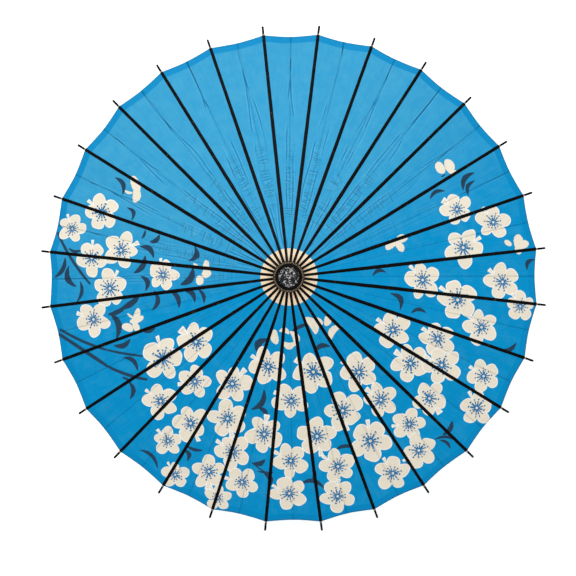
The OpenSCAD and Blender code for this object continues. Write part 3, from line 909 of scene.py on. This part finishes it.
def paper_material(name, look, faded):
    """Oiled paper: blue ground with creases and hem, brush strokes, blossoms and the cream middle, with
    painted sheen on the slack side, painted shade in the creases and painted highlights beside them.
    """
    material, n, shader = new_material(name)
    rest = n.attribute("rest_place")
    sheet = n.attribute("sheet_place")
    radius, _, edge = n.split(sheet)
    pucker = n.group(group_named("pucker"), Rest=rest, Sheet=sheet)
    crumple = n.group(group_named("crumple"), Place=n.scaled(rest, (1.0, 1.0, 0.4)), Size=0.03)
    # The slack-side mask sets where the paper creases most, and also where painted sheen lightens the paper.
    slack_and_sheen = n.vector("DOT_PRODUCT", rest, (math.cos(look.slack_and_sheen_side), math.sin(look.slack_and_sheen_side), 0.0))
    slack_and_sheen = n.span(n.math("DIVIDE", slack_and_sheen, radius), -0.15, 0.75, 0.04, 1.0)
    line = n.math("MULTIPLY", pucker["Line"], slack_and_sheen)
    bump = n.math("MULTIPLY", pucker["Bump"], slack_and_sheen)
    tone = n.math("MULTIPLY_ADD", pucker["Streak"], 0.45, n.math("MULTIPLY", n.noise(rest, 55.0, 3.0), 0.55))
    # Painted sheen: the paper is mixed towards a paler, greyer blue on the slack side, less near the hub,
    # with some random tone.
    sheen_and_tone = n.math("MULTIPLY_ADD", slack_and_sheen, 0.8, n.span(tone, 0.3, 0.7, -0.2, 0.2))
    sheen_and_tone = n.math("MULTIPLY", sheen_and_tone, n.span(radius, 0.05, 0.25, 0.75, 1.0))
    colour = n.mix(sheen_and_tone, look.blue, look.blue_sheen_and_pale)
    # Painted highlight: a pale line beside each crease is mixed towards the shine blue.
    shine = n.math("MULTIPLY", n.math("MULTIPLY", pucker["Shine"], slack_and_sheen), 0.3)
    colour = n.mix(shine, colour, look.blue_shine)
    # Painted shade: the crease lines are mixed towards a darker blue.
    colour = n.mix(n.math("MULTIPLY", line, 0.7), colour, look.blue_painted_shade)
    # Painted highlight: the raised cross puckers are mixed a little towards the shine blue.
    colour = n.mix(n.math("MULTIPLY", bump, 0.14), colour, look.blue_shine)
    # Painted shade: the ridges of the fine crumple are darkened a little.
    colour = n.mix(n.math("MULTIPLY", crumple["Ridge"], 0.06), colour, look.blue_painted_shade)
    hem = n.span(edge, look.hem - 0.4 * MM, look.hem + 0.4 * MM, 1.0, 0.0)
    colour = n.mix(n.math("MULTIPLY", hem, 0.9), colour, look.blue_hem)
    ground = colour
    for layer in LAYERS:
        stroke = n.group(
            group_named("brush_stroke"),
            Place=n.attribute("stroke_" + layer),
            Shape=n.attribute("shape_" + layer),
        )
        ink = n.mix(stroke["Pale"], look.slate, look.cream)
        colour = n.mix(stroke["Ink"], colour, ink)
    for layer in LAYERS:
        blossom = n.group(group_named("blossom_print"), Place=n.attribute("blossom_" + layer))
        colour = n.mix(blossom["Petal"], colour, look.cream)
        colour = n.mix(blossom["Rim"], colour, look.cream_rim)
        colour = n.mix(blossom["Stamen"], colour, look.stamen)
    # The cream middle is mixed towards a dark brown close to the crown.
    cream_near_crown = n.mix(n.span(radius, 22 * MM, 38 * MM, 0.6, 0.0), look.disc_cream, look.disc_dark)
    disc = n.span(radius, look.disc - 0.3 * MM, look.disc + 0.3 * MM, 1.0, 0.0)
    colour = n.mix(disc, colour, cream_near_crown)
    if faded:
        colour = n.mix(0.45, colour, look.blue_sheen_and_pale)
        ground = n.mix(0.6, ground, look.blue_sheen_and_pale)
        colour = n.mix(0.35, colour, ground)
    fibre = n.noise(n.scaled(rest, (1.0, 1.0, 0.3)), 420.0, 3.0, 0.65)
    colour = n.mix(n.span(fibre, 0.35, 0.75, 0.0, 0.03), colour, look.fibre)
    n.put(colour, shader.inputs["Base Color"])
    rough = n.math("MULTIPLY_ADD", fibre, 0.25, 0.62 if faded else 0.36)
    n.put(rough, shader.inputs["Roughness"])
    shader.inputs["Specular IOR Level"].default_value = 0.07
    height = n.math("MULTIPLY", crumple["Height"], 0.00022)
    height = n.math("MULTIPLY_ADD", line, -0.0006, height)
    height = n.math("MULTIPLY_ADD", bump, 0.0020, height)
    height = n.math("MULTIPLY_ADD", tone, 0.0012, height)
    height = n.math("MULTIPLY_ADD", hem, 0.00018, height)
    height = n.math("MULTIPLY_ADD", disc, 0.00016, height)
    height = n.math("MULTIPLY_ADD", fibre, 0.00003, height)
    add_bump(n, shader, height)
    return material


def lacquer_material(name, look, crumpled):
    """Black lacquer with a few rubbed brown specks; glossier and sharply crumpled over the cap, where
    painted highlights run along thin fold lines.
    """
    material, n, shader = new_material(name)
    place = n.place()
    amount = look.wear * (0.3 if crumpled else 1)
    wear = n.group(group_named("wear"), Place=place, Size=0.007, Amount=amount)["Patch"]
    crumple = n.group(group_named("crumple"), Place=place, Size=0.0045 if crumpled else 0.004)
    colour = n.mix(wear, look.black, look.worn)
    if crumpled:
        # Painted highlights: thin lines along the cap's folds are mixed towards a pale grey.
        drawn = n.scaled(place, (150.0, 270.0, 160.0))
        fold = n.math("ABSOLUTE", n.math("SUBTRACT", n.noise(drawn, 1.0, 2.0, 0.7), 0.5))
        folds = n.span(fold, 0.010, 0.045, 1.0, 0.0)
        folds = n.math("MULTIPLY", folds, n.span(n.noise(place, 160.0, 2.0), 0.44, 0.54))
        colour = n.mix(n.math("MULTIPLY", folds, 0.85), colour, look.cap_highlight)
    n.put(colour, shader.inputs["Base Color"])
    rough = n.math("MULTIPLY_ADD", wear, 0.3, 0.10 if crumpled else 0.35)
    rough = n.math("MULTIPLY_ADD", crumple["Cloud"], 0.08, rough)
    n.put(rough, shader.inputs["Roughness"])
    shader.inputs["Specular IOR Level"].default_value = 0.35 if crumpled else 0.05
    shader.inputs["Coat Weight"].default_value = 0.15 if crumpled else 0.0
    shader.inputs["Coat Roughness"].default_value = 0.08
    height = n.math("MULTIPLY", crumple["Height"], 0.0007 if crumpled else 0.00008)
    add_bump(n, shader, height)
    return material


def gathered_material(name, look):
    """Gathered paper round the cap: black, with pale brown specks on the tops of the gathers, and dull."""
    material, n, shader = new_material(name)
    place = n.place()
    x, y, _ = n.split(place)
    wave = n.math("COSINE", n.math("MULTIPLY", n.math("ARCTAN2", y, x), GORES * 1.0))
    crumple = n.group(group_named("crumple"), Place=place, Size=0.003)
    speck = n.noise(place, 900.0, 2.0)
    # Pale brown specks on the tops of the gathers, in a ring round the cap.
    raised = n.math("MULTIPLY", n.span(n.math("ABSOLUTE", wave), 0.55, 0.85), n.span(speck, 0.36, 0.52))
    radius = n.vector("LENGTH", n.join(x, y, 0.0))
    raised = n.math("MULTIPLY", raised, n.span(radius, 20.8 * MM, 21.6 * MM))
    raised = n.math("MULTIPLY", raised, n.span(radius, 23.0 * MM, 23.8 * MM, 1.0, 0.1))
    colour = n.mix(n.math("MULTIPLY", raised, 0.9), look.black, look.pale_specks)
    n.put(colour, shader.inputs["Base Color"])
    n.put(n.math("MULTIPLY_ADD", speck, 0.2, 0.5), shader.inputs["Roughness"])
    shader.inputs["Specular IOR Level"].default_value = 0.15
    add_bump(n, shader, n.math("MULTIPLY", crumple["Height"], 0.0003))
    return material


def grain_place(n, place, slope):
    """Turns Object coordinates into distance along a strip of that slope, over it and round the axis."""
    x, y, z = n.split(place)
    radius = n.vector("LENGTH", n.join(x, y, 0.0))
    out = n.math("SUBTRACT", radius, HINGE_R)
    drop = n.math("SUBTRACT", HINGE_Z, z)
    drop_along = n.math("MULTIPLY", drop, math.sin(slope))
    along = n.math("ADD", n.math("MULTIPLY", out, math.cos(slope)), drop_along)
    drop_over = n.math("MULTIPLY", drop, math.cos(slope))
    over = n.math("SUBTRACT", n.math("MULTIPLY", out, math.sin(slope)), drop_over)
    gore = n.math("DIVIDE", n.math("ARCTAN2", y, x), PITCH)
    nearest = n.math("ROUND", gore)
    aside = n.math("MULTIPLY", n.math("MULTIPLY", n.math("SUBTRACT", gore, nearest), PITCH), radius)
    over = n.math("MULTIPLY_ADD", nearest, 0.37, over)
    return n.join(along, over, aside), along


def bamboo_material(name, look, slope, tips):
    """Stained split bamboo: long fibres, a few pale ones, and black brushed over the tips."""
    material, n, shader = new_material(name)
    place, along = grain_place(n, n.place(), slope)
    grain = n.group(group_named("grain"), Place=place)
    wear = n.group(group_named("wear"), Place=n.place(), Size=0.03, Amount=0.45)["Patch"]
    colour = n.mix(n.span(grain["Streak"], 0.35, 0.68), look.bamboo_dark, look.bamboo)
    colour = n.mix(n.math("MULTIPLY", wear, 0.5), colour, look.bamboo_pale)
    colour = n.mix(n.math("MULTIPLY", grain["Pore"], 0.7), colour, look.bamboo_dark)
    rough = n.math("MULTIPLY_ADD", grain["Streak"], 0.3, 0.35)
    if tips:
        brushed = n.span(along, PAPER_END - 4 * MM, PAPER_END - 1 * MM)
        black = n.mix(n.math("MULTIPLY", wear, 0.15), look.tip_black, look.bamboo)
        colour = n.mix(brushed, colour, black)
    n.put(colour, shader.inputs["Base Color"])
    n.put(rough, shader.inputs["Roughness"])
    add_bump(n, shader, n.math("MULTIPLY", grain["Height"], 0.00025))
    return material


def turned_wood_material(name, look):
    """Dark turned wood of the notch and the runner, with turning lines and the pale tie thread."""
    material, n, shader = new_material(name)
    place = n.place()
    x, y, z = n.split(place)
    radius = n.vector("LENGTH", n.join(x, y, 0.0))
    grain = n.group(group_named("grain"), Place=n.join(z, x, y))
    rings = n.noise(n.join(0.0, 0.0, n.math("MULTIPLY", z, 1400.0)), 1.0, 2.0)
    colour = n.mix(n.span(grain["Streak"], 0.35, 0.7), look.notch_dark, look.notch)
    colour = n.mix(n.span(rings, 0.5, 0.8, 0.0, 0.5), colour, look.notch_dark)
    from_ring = n.math("ABSOLUTE", n.math("SUBTRACT", radius, HINGE_R))
    level = n.math("MINIMUM", n.math("ABSOLUTE", n.math("SUBTRACT", z, HINGE_Z)),
                   n.math("ABSOLUTE", n.math("SUBTRACT", z, RUNNER_Z)))
    thread = n.math("LESS_THAN", n.math("MAXIMUM", from_ring, level), 0.46 * MM)
    colour = n.mix(thread, colour, look.thread)
    n.put(colour, shader.inputs["Base Color"])
    n.put(n.math("MULTIPLY_ADD", grain["Streak"], 0.25, 0.35), shader.inputs["Roughness"])
    height = n.math("MULTIPLY_ADD", rings, 0.5, grain["Height"])
    add_bump(n, shader, n.math("MULTIPLY", height, 0.0002))
    return material


def pole_material(name, look):
    """Stained pole: grain along it, with the grip lacquered darker and smoother."""
    material, n, shader = new_material(name)
    place = n.place()
    x, y, z = n.split(place)
    grain = n.group(group_named("grain"), Place=n.join(n.math("MULTIPLY", z, 0.6), x, y))
    wear = n.group(group_named("wear"), Place=place, Size=0.025, Amount=0.5)["Patch"]
    grip = n.span(z, 0.1115, 0.1125, 1.0, 0.0)
    colour = n.mix(n.span(grain["Streak"], 0.35, 0.68), look.pole_dark, look.pole)
    colour = n.mix(n.math("MULTIPLY", wear, 0.35), colour, look.pole)
    colour = n.mix(grip, colour, n.mix(n.math("MULTIPLY", wear, 0.5), look.tip_black, look.pole_dark))
    n.put(colour, shader.inputs["Base Color"])
    rough = n.math("MULTIPLY_ADD", grain["Streak"], 0.25, 0.3)
    rough = n.math("MULTIPLY_ADD", grip, -0.12, rough)
    n.put(rough, shader.inputs["Roughness"])
    add_bump(n, shader, n.math("MULTIPLY", grain["Height"], 0.00025))
    return material


def thread_material(name, look):
    """Twisted cotton thread: fine slanting strands."""
    material, n, shader = new_material(name)
    place = n.place()
    strand = n.noise(n.scaled(place, (1.0, 1.0, 1.6)), 2600.0, 2.0)
    wear = n.group(group_named("wear"), Place=place, Size=0.006, Amount=0.7)["Patch"]
    colour = n.mix(n.span(strand, 0.3, 0.7), look.thread_dark, look.thread)
    colour = n.mix(n.math("MULTIPLY", wear, 0.4), colour, look.thread_dark)
    n.put(colour, shader.inputs["Base Color"])
    n.put(n.math("MULTIPLY_ADD", strand, 0.2, 0.7), shader.inputs["Roughness"])
    add_bump(n, shader, n.math("MULTIPLY", strand, 0.00015))
    return material


def floor_material():
    """Pale matt studio floor with a faint unevenness."""
    material, n, shader = new_material("studio_floor")
    place = n.place()
    cloud = n.noise(place, 2.0, 2.0)
    n.put(n.mix(cloud, (0.93, 0.93, 0.93), (0.96, 0.96, 0.96)), shader.inputs["Base Color"])
    shader.inputs["Emission Color"].default_value = (1, 1, 1, 1)
    shader.inputs["Emission Strength"].default_value = 0.35
    shader.inputs["Roughness"].default_value = 0.9
    add_bump(n, shader, n.math("MULTIPLY", n.noise(place, 300.0, 2.0), 0.0002))
    return material


# ---------------------------------------------------------------- settings


def length(name, description, default, low=0.0, high=1.0):
    """A length in metres that the sidebar shows in the scene's unit."""
    return FloatProperty(
        name=name, description=description, default=default, min=low, max=high,
        precision=5, subtype="DISTANCE", unit="LENGTH",
    )


def colour(name, description, default):
    """A colour, in linear red, green and blue."""
    return FloatVectorProperty(
        name=name, description=description, default=default, size=3, min=0, max=1, subtype="COLOR",
    )


class PaperSettings(bpy.types.PropertyGroup):
    sheet: length("Sheet", "Thickness of the oiled paper", 0.25 * MM)
    start: length("Start", "Where the paper starts, along a rib from its hinge", 2.0 * MM)
    hollow: length("Hollow", "How far the hem is cut back between two ribs", 2.4 * MM)
    valley: length("Valley", "How far the crease sinks at the hem", 2.2 * MM)
    ripple: length("Ripple", "Height of the paper's wrinkles", 0.45 * MM)
    hem: length("Hem", "Width of the darker band along the hem", 12.5 * MM)
    disc: length("Middle", "Radius of the cream middle", 44.9 * MM)
    beside: length("Beside", "How far from the middle of its rib the closed paper hangs", 1.9 * MM)
    # The slack side also places the painted sheen on the paper.
    slack_and_sheen_side: FloatProperty(
        name="Slack side", description="Azimuth of the gores whose paper is creased most",
        default=math.radians(112), subtype="ANGLE", unit="ROTATION",
    )
    lean: FloatProperty(
        name="Lean", description="How steeply the paper pleats inwards as it closes",
        default=math.radians(5), subtype="ANGLE", unit="ROTATION",
    )
    blue: colour("Blue", "Ground colour of the paper", (0.0005, 0.228, 0.490))
    # Light blue is the paper blue with painted sheen on the slack side, and the paler blue of the underside.
    blue_sheen_and_pale: colour("Light blue", "Ground colour where the paper is thin", (0.044, 0.300, 0.505))
    # Painted shade in the creases and along the wrinkle ridges.
    blue_painted_shade: colour("Dark blue", "Colour in the creases", (0.001, 0.15, 0.34))
    # Painted highlight beside the creases and on the puckers.
    blue_shine: colour("Shine", "Colour of the paper raised beside a crease", (0.12, 0.42, 0.68))
    fibre: colour("Fibre", "Colour of the pale fibres", (0.02, 0.55, 0.75))
    blue_hem: colour("Hem blue", "Colour of the doubled hem", (0.0005, 0.205, 0.455))
    cream: colour("Cream", "Colour of the petals", (0.70, 0.64, 0.52))
    cream_rim: colour("Petal rim", "Colour of the petals' edge", (0.80, 0.79, 0.74))
    slate: colour("Slate", "Colour of leaves and twigs", (0.016, 0.040, 0.078))
    stamen: colour("Stamen", "Colour of the stamens", (0.001, 0.13, 0.31))
    disc_cream: colour("Middle cream", "Colour of the cream middle", (0.72, 0.58, 0.40))
    # Darker brown that the cream middle takes close to the crown.
    disc_dark: colour("Soiled cream", "Colour of the cream middle beside the crown", (0.22, 0.14, 0.08))


class LacquerSettings(bpy.types.PropertyGroup):
    line_start: length("Line start", "Where a line starts, along a rib from its hinge", 3.0 * MM)
    inner_width: length("Inner width", "Width of a line near the crown", 4.2 * MM)
    line_growth: length("Line growth", "How much wider a line is away from the crown", 1.6 * MM)
    line_taper: length("Line taper", "How much narrower it is again at the hem", 0.5 * MM)
    tip_width: length("Tip width", "Width of the lacquered tip", 3.6 * MM)
    tip_depth: length("Tip depth", "How far the lacquer runs down the tip", 1.4 * MM)
    line_height: length("Line height", "Height of a line above the paper", 0.35 * MM)
    thread: length("Thread", "Radius of the thread of a knot", 0.32 * MM)
    knot_half_width: length("Knot width", "Half the width of a knot", 1.6 * MM)
    knot_half_depth: length("Knot depth", "Half the depth of a knot", 1.65 * MM)
    crumple: length("Crumple", "Height of the folds on the cap", 1.0 * MM)
    skirt_radius: length("Skirt radius", "Outer radius of the gathered paper under the cap", 24.7 * MM)
    skirt_swell: length("Skirt swell", "Height of the gathers", 1.3 * MM)
    wear: FloatProperty(
        name="Wear", description="How much of the lacquer is rubbed", default=0.42, min=0, max=1,
    )
    black: colour("Black", "Colour of the lacquer", (0.0035, 0.003, 0.003))
    worn: colour("Worn", "Colour where the lacquer is thin", (0.045, 0.028, 0.018))
    # Painted highlight colour on the cap's folds.
    cap_highlight: colour("Silver", "Colour of the bright edges of the cap's folds", (0.85, 0.85, 0.86))
    # Colour of the pale brown specks on the tops of the gathers.
    pale_specks: colour("Dust", "Colour of the dust on the gathers", (0.34, 0.26, 0.17))


class WoodSettings(bpy.types.PropertyGroup):
    bamboo: colour("Bamboo", "Colour of the stained bamboo", (0.10, 0.055, 0.028))
    bamboo_dark: colour("Dark bamboo", "Colour of its dark fibres", (0.030, 0.018, 0.011))
    bamboo_pale: colour("Pale bamboo", "Colour where the stain is thin", (0.24, 0.15, 0.08))
    tip_black: colour("Tip black", "Colour of the brushed tips", (0.006, 0.005, 0.005))
    notch: colour("Notch", "Colour of the turned wood", (0.075, 0.045, 0.026))
    notch_dark: colour("Dark notch", "Colour of its dark grain", (0.025, 0.016, 0.011))
    pole: colour("Pole", "Colour of the pole", (0.14, 0.075, 0.038))
    pole_dark: colour("Dark pole", "Colour of its dark grain", (0.045, 0.026, 0.016))
    thread: colour("Thread", "Colour of the tie thread", (0.62, 0.50, 0.32))
    thread_dark: colour("Dark thread", "Colour between the strands", (0.30, 0.20, 0.11))


class StageSettings(bpy.types.PropertyGroup):
    distance: length("Camera distance", "From the middle of the hem to the camera", 2.6, 0.5, 10)
    view_width: length("View width", "What the camera takes in at that distance", 0.9535, 0.1, 5)
    floor: length("Floor", "Side of the floor", 9.0, 1, 30)
    tilt: FloatProperty(
        name="Tilt", description="How far the camera leans from straight above",
        default=math.radians(1.95), subtype="ANGLE", unit="ROTATION",
    )
    heading: FloatProperty(
        name="Heading", description="Azimuth towards which the camera leans",
        default=math.radians(-10.87), subtype="ANGLE", unit="ROTATION",
    )
    roll: FloatProperty(
        name="Roll", description="Azimuth that points up in the picture",
        default=math.radians(96.13), subtype="ANGLE", unit="ROTATION",
    )
    shift: FloatVectorProperty(
        name="Shift", description="How far the picture is moved across and up, over its own width",
        default=(-0.0070, -0.0175), size=2, precision=4,
    )
    daylight: FloatProperty(
        name="Daylight", description="Strength of the light all round", default=0.35, min=0, max=5,
    )


# ---------------------------------------------------------------- operators


class UMBRELLA_OT_canopy(bpy.types.Operator):
    """Make the printed paper, one half gore on each side of every rib"""

    bl_idname = "umbrella.canopy"
    bl_label = "Paper canopy"

    def execute(self, context):
        look = context.scene.umbrella_paper
        printed = paper_material("printed_paper", look, False)
        underside = paper_material("paper_underside", look, True)
        materials = printed, underside
        for rib in RIBS:
            for side in (1, -1):
                half_gore(rib, side, look, materials)
        return {"FINISHED"}


class UMBRELLA_OT_lines(bpy.types.Operator):
    """Brush a thick black line over every rib"""

    bl_idname = "umbrella.lines"
    bl_label = "Lacquer lines"

    def execute(self, context):
        look = context.scene.umbrella_lacquer
        material = lacquer_material("brushed_lacquer", look, False)
        for rib in RIBS:
            lacquer_line(rib, look, material)
        return {"FINISHED"}


class UMBRELLA_OT_knots(bpy.types.Operator):
    """Wind thread round every rib at the hem"""

    bl_idname = "umbrella.knots"
    bl_label = "Hem knots"

    def execute(self, context):
        material = thread_material("hem_thread", context.scene.umbrella_wood)
        for rib in RIBS:
            edge_knot(rib, context.scene.umbrella_lacquer, material)
        return {"FINISHED"}


class UMBRELLA_OT_crown(bpy.types.Operator):
    """Make the crumpled cap and the gathered paper under it"""

    bl_idname = "umbrella.crown"
    bl_label = "Crown"

    def execute(self, context):
        look = context.scene.umbrella_lacquer
        material = lacquer_material("crumpled_lacquer", look, True)
        crown_cap(look, material)
        crown_skirt(look, gathered_material("gathered_paper", look))
        return {"FINISHED"}


class UMBRELLA_OT_catch(bpy.types.Operator):
    """Make the catch that holds the runner up"""

    bl_idname = "umbrella.catch"
    bl_label = "Catch"

    def execute(self, context):
        look = context.scene.umbrella_wood
        catch_spring(bamboo_material("catch_bamboo", look, math.pi / 2, False))
        return {"FINISHED"}


class UMBRELLA_OT_finishes(bpy.types.Operator):
    """Give the ribs, stretchers, notch, runner and pole their wood"""

    bl_idname = "umbrella.finishes"
    bl_label = "Wood finishes"

    def execute(self, context):
        look = context.scene.umbrella_wood
        finishes = {
            "rib_": bamboo_material("rib_bamboo", look, SLOPE, True),
            "stretcher_": bamboo_material("stretcher_bamboo", look, -SLOPE, False),
            "top_notch": turned_wood_material("turned_wood", look),
            "shaft": pole_material("pole_wood", look),
        }
        finishes["runner"] = finishes["top_notch"]
        for name, node in frame["nodes"].items():
            for start, material in finishes.items():
                if name.startswith(start):
                    node.data.materials[0] = material
        return {"FINISHED"}


class UMBRELLA_OT_stage(bpy.types.Operator):
    """Lay the floor, hang the lights and set up the camera"""

    bl_idname = "umbrella.stage"
    bl_label = "Stage"

    def execute(self, context):
        look = context.scene.umbrella_stage
        lay_floor(look)
        hang_lights(look)
        set_camera(look)
        context.scene.view_settings.view_transform = "Standard"
        return {"FINISHED"}


def lay_floor(look):
    """A square of floor under the umbrella's foot."""
    side = np.linspace(-look.floor / 2, look.floor / 2, 3)
    x, y = np.meshgrid(side, side)
    points = np.stack([x.ravel(), y.ravel(), np.full(x.size, CAD_LOW.z)], axis=1)
    floor = new_piece("studio_floor", points, grid_faces(3, 3))
    floor.data.materials.append(floor_material())


def hang_lights(look):
    """Even daylight from a pale world, with one broad soft light and a weaker one to rake the paper."""
    world = bpy.data.worlds.new("studio_light")
    bpy.context.scene.world = world
    world.use_nodes = True
    background = world.node_tree.nodes["Background"]
    background.inputs["Color"].default_value = (1, 1, 1, 1)
    background.inputs["Strength"].default_value = look.daylight
    overhead = add_light("overhead_light", 0, 0, 4.6, 5.0, 205)
    overhead.visible_glossy = False
    add_light("window_light", look.roll + math.radians(12), math.radians(46), 3.4, 2.4, 56)


def add_light(name, azimuth, lean, distance, size, power):
    """A square soft light aimed at the canopy, leaning from straight above towards an azimuth."""
    data = bpy.data.lights.new(name, "AREA")
    data.shape = "SQUARE"
    data.size = size
    data.energy = power
    light = bpy.data.objects.new(name, data)
    bpy.context.scene.collection.objects.link(light)
    back = Vector((math.cos(azimuth) * math.sin(lean), math.sin(azimuth) * math.sin(lean), math.cos(lean)))
    light.location = Vector((0, 0, HINGE_Z)) + back * distance
    light.rotation_mode = "QUATERNION"
    light.rotation_quaternion = back.to_track_quat("Z", "Y")
    return light


def set_camera(look):
    """A long lens high above the umbrella, leaning a little, turned so that roll points up."""
    data = bpy.data.cameras.new("camera")
    camera = bpy.data.objects.new("camera", data)
    bpy.context.scene.collection.objects.link(camera)
    bpy.context.scene.camera = camera
    hem = over_rib(0, PAPER_END, PAPER_TOP, 0)
    lean = math.sin(look.tilt)
    back = Vector((lean * math.cos(look.heading), lean * math.sin(look.heading), math.cos(look.tilt)))
    camera.location = Vector((0, 0, float(hem[2]))) + back * look.distance
    up = Vector((math.cos(look.roll), math.sin(look.roll), 0))
    right = up.cross(back).normalized()
    upright = back.cross(right)
    camera.rotation_mode = "QUATERNION"
    turn = [[right[row], upright[row], back[row]] for row in range(3)]
    camera.rotation_quaternion = Matrix(turn).to_quaternion()
    data.lens = data.sensor_width * look.distance / look.view_width
    data.shift_x, data.shift_y = look.shift
    data.clip_end = 50


OPERATORS = (
    UMBRELLA_OT_canopy,
    UMBRELLA_OT_lines,
    UMBRELLA_OT_knots,
    UMBRELLA_OT_crown,
    UMBRELLA_OT_catch,
    UMBRELLA_OT_finishes,
    UMBRELLA_OT_stage,
)


class UMBRELLA_PT_panel(bpy.types.Panel):
    """Lists the steps that dress the umbrella"""

    bl_idname = "UMBRELLA_PT_panel"
    bl_label = "Oil Paper Umbrella"
    bl_space_type = "VIEW_3D"
    bl_region_type = "UI"
    bl_category = "Umbrella"

    def draw(self, context):
        for operator in OPERATORS:
            self.layout.operator(operator.bl_idname)


SETTINGS = {
    "umbrella_paper": PaperSettings,
    "umbrella_lacquer": LacquerSettings,
    "umbrella_wood": WoodSettings,
    "umbrella_stage": StageSettings,
}


def register():
    for group in SETTINGS.values():
        bpy.utils.register_class(group)
    for operator in OPERATORS:
        bpy.utils.register_class(operator)
    bpy.utils.register_class(UMBRELLA_PT_panel)
    for name, group in SETTINGS.items():
        setattr(bpy.types.Scene, name, PointerProperty(type=group))


def unregister():
    for name in SETTINGS:
        delattr(bpy.types.Scene, name)
    bpy.utils.unregister_class(UMBRELLA_PT_panel)
    for operator in reversed(OPERATORS):
        bpy.utils.unregister_class(operator)
    for group in reversed(SETTINGS.values()):
        bpy.utils.unregister_class(group)


def main():
    register()
    bpy.ops.umbrella.stage()
    bpy.ops.umbrella.canopy()
    bpy.ops.umbrella.lines()
    bpy.ops.umbrella.knots()
    bpy.ops.umbrella.crown()
    bpy.ops.umbrella.catch()
    bpy.ops.umbrella.finishes()


if __name__ == "__main__":
    main()
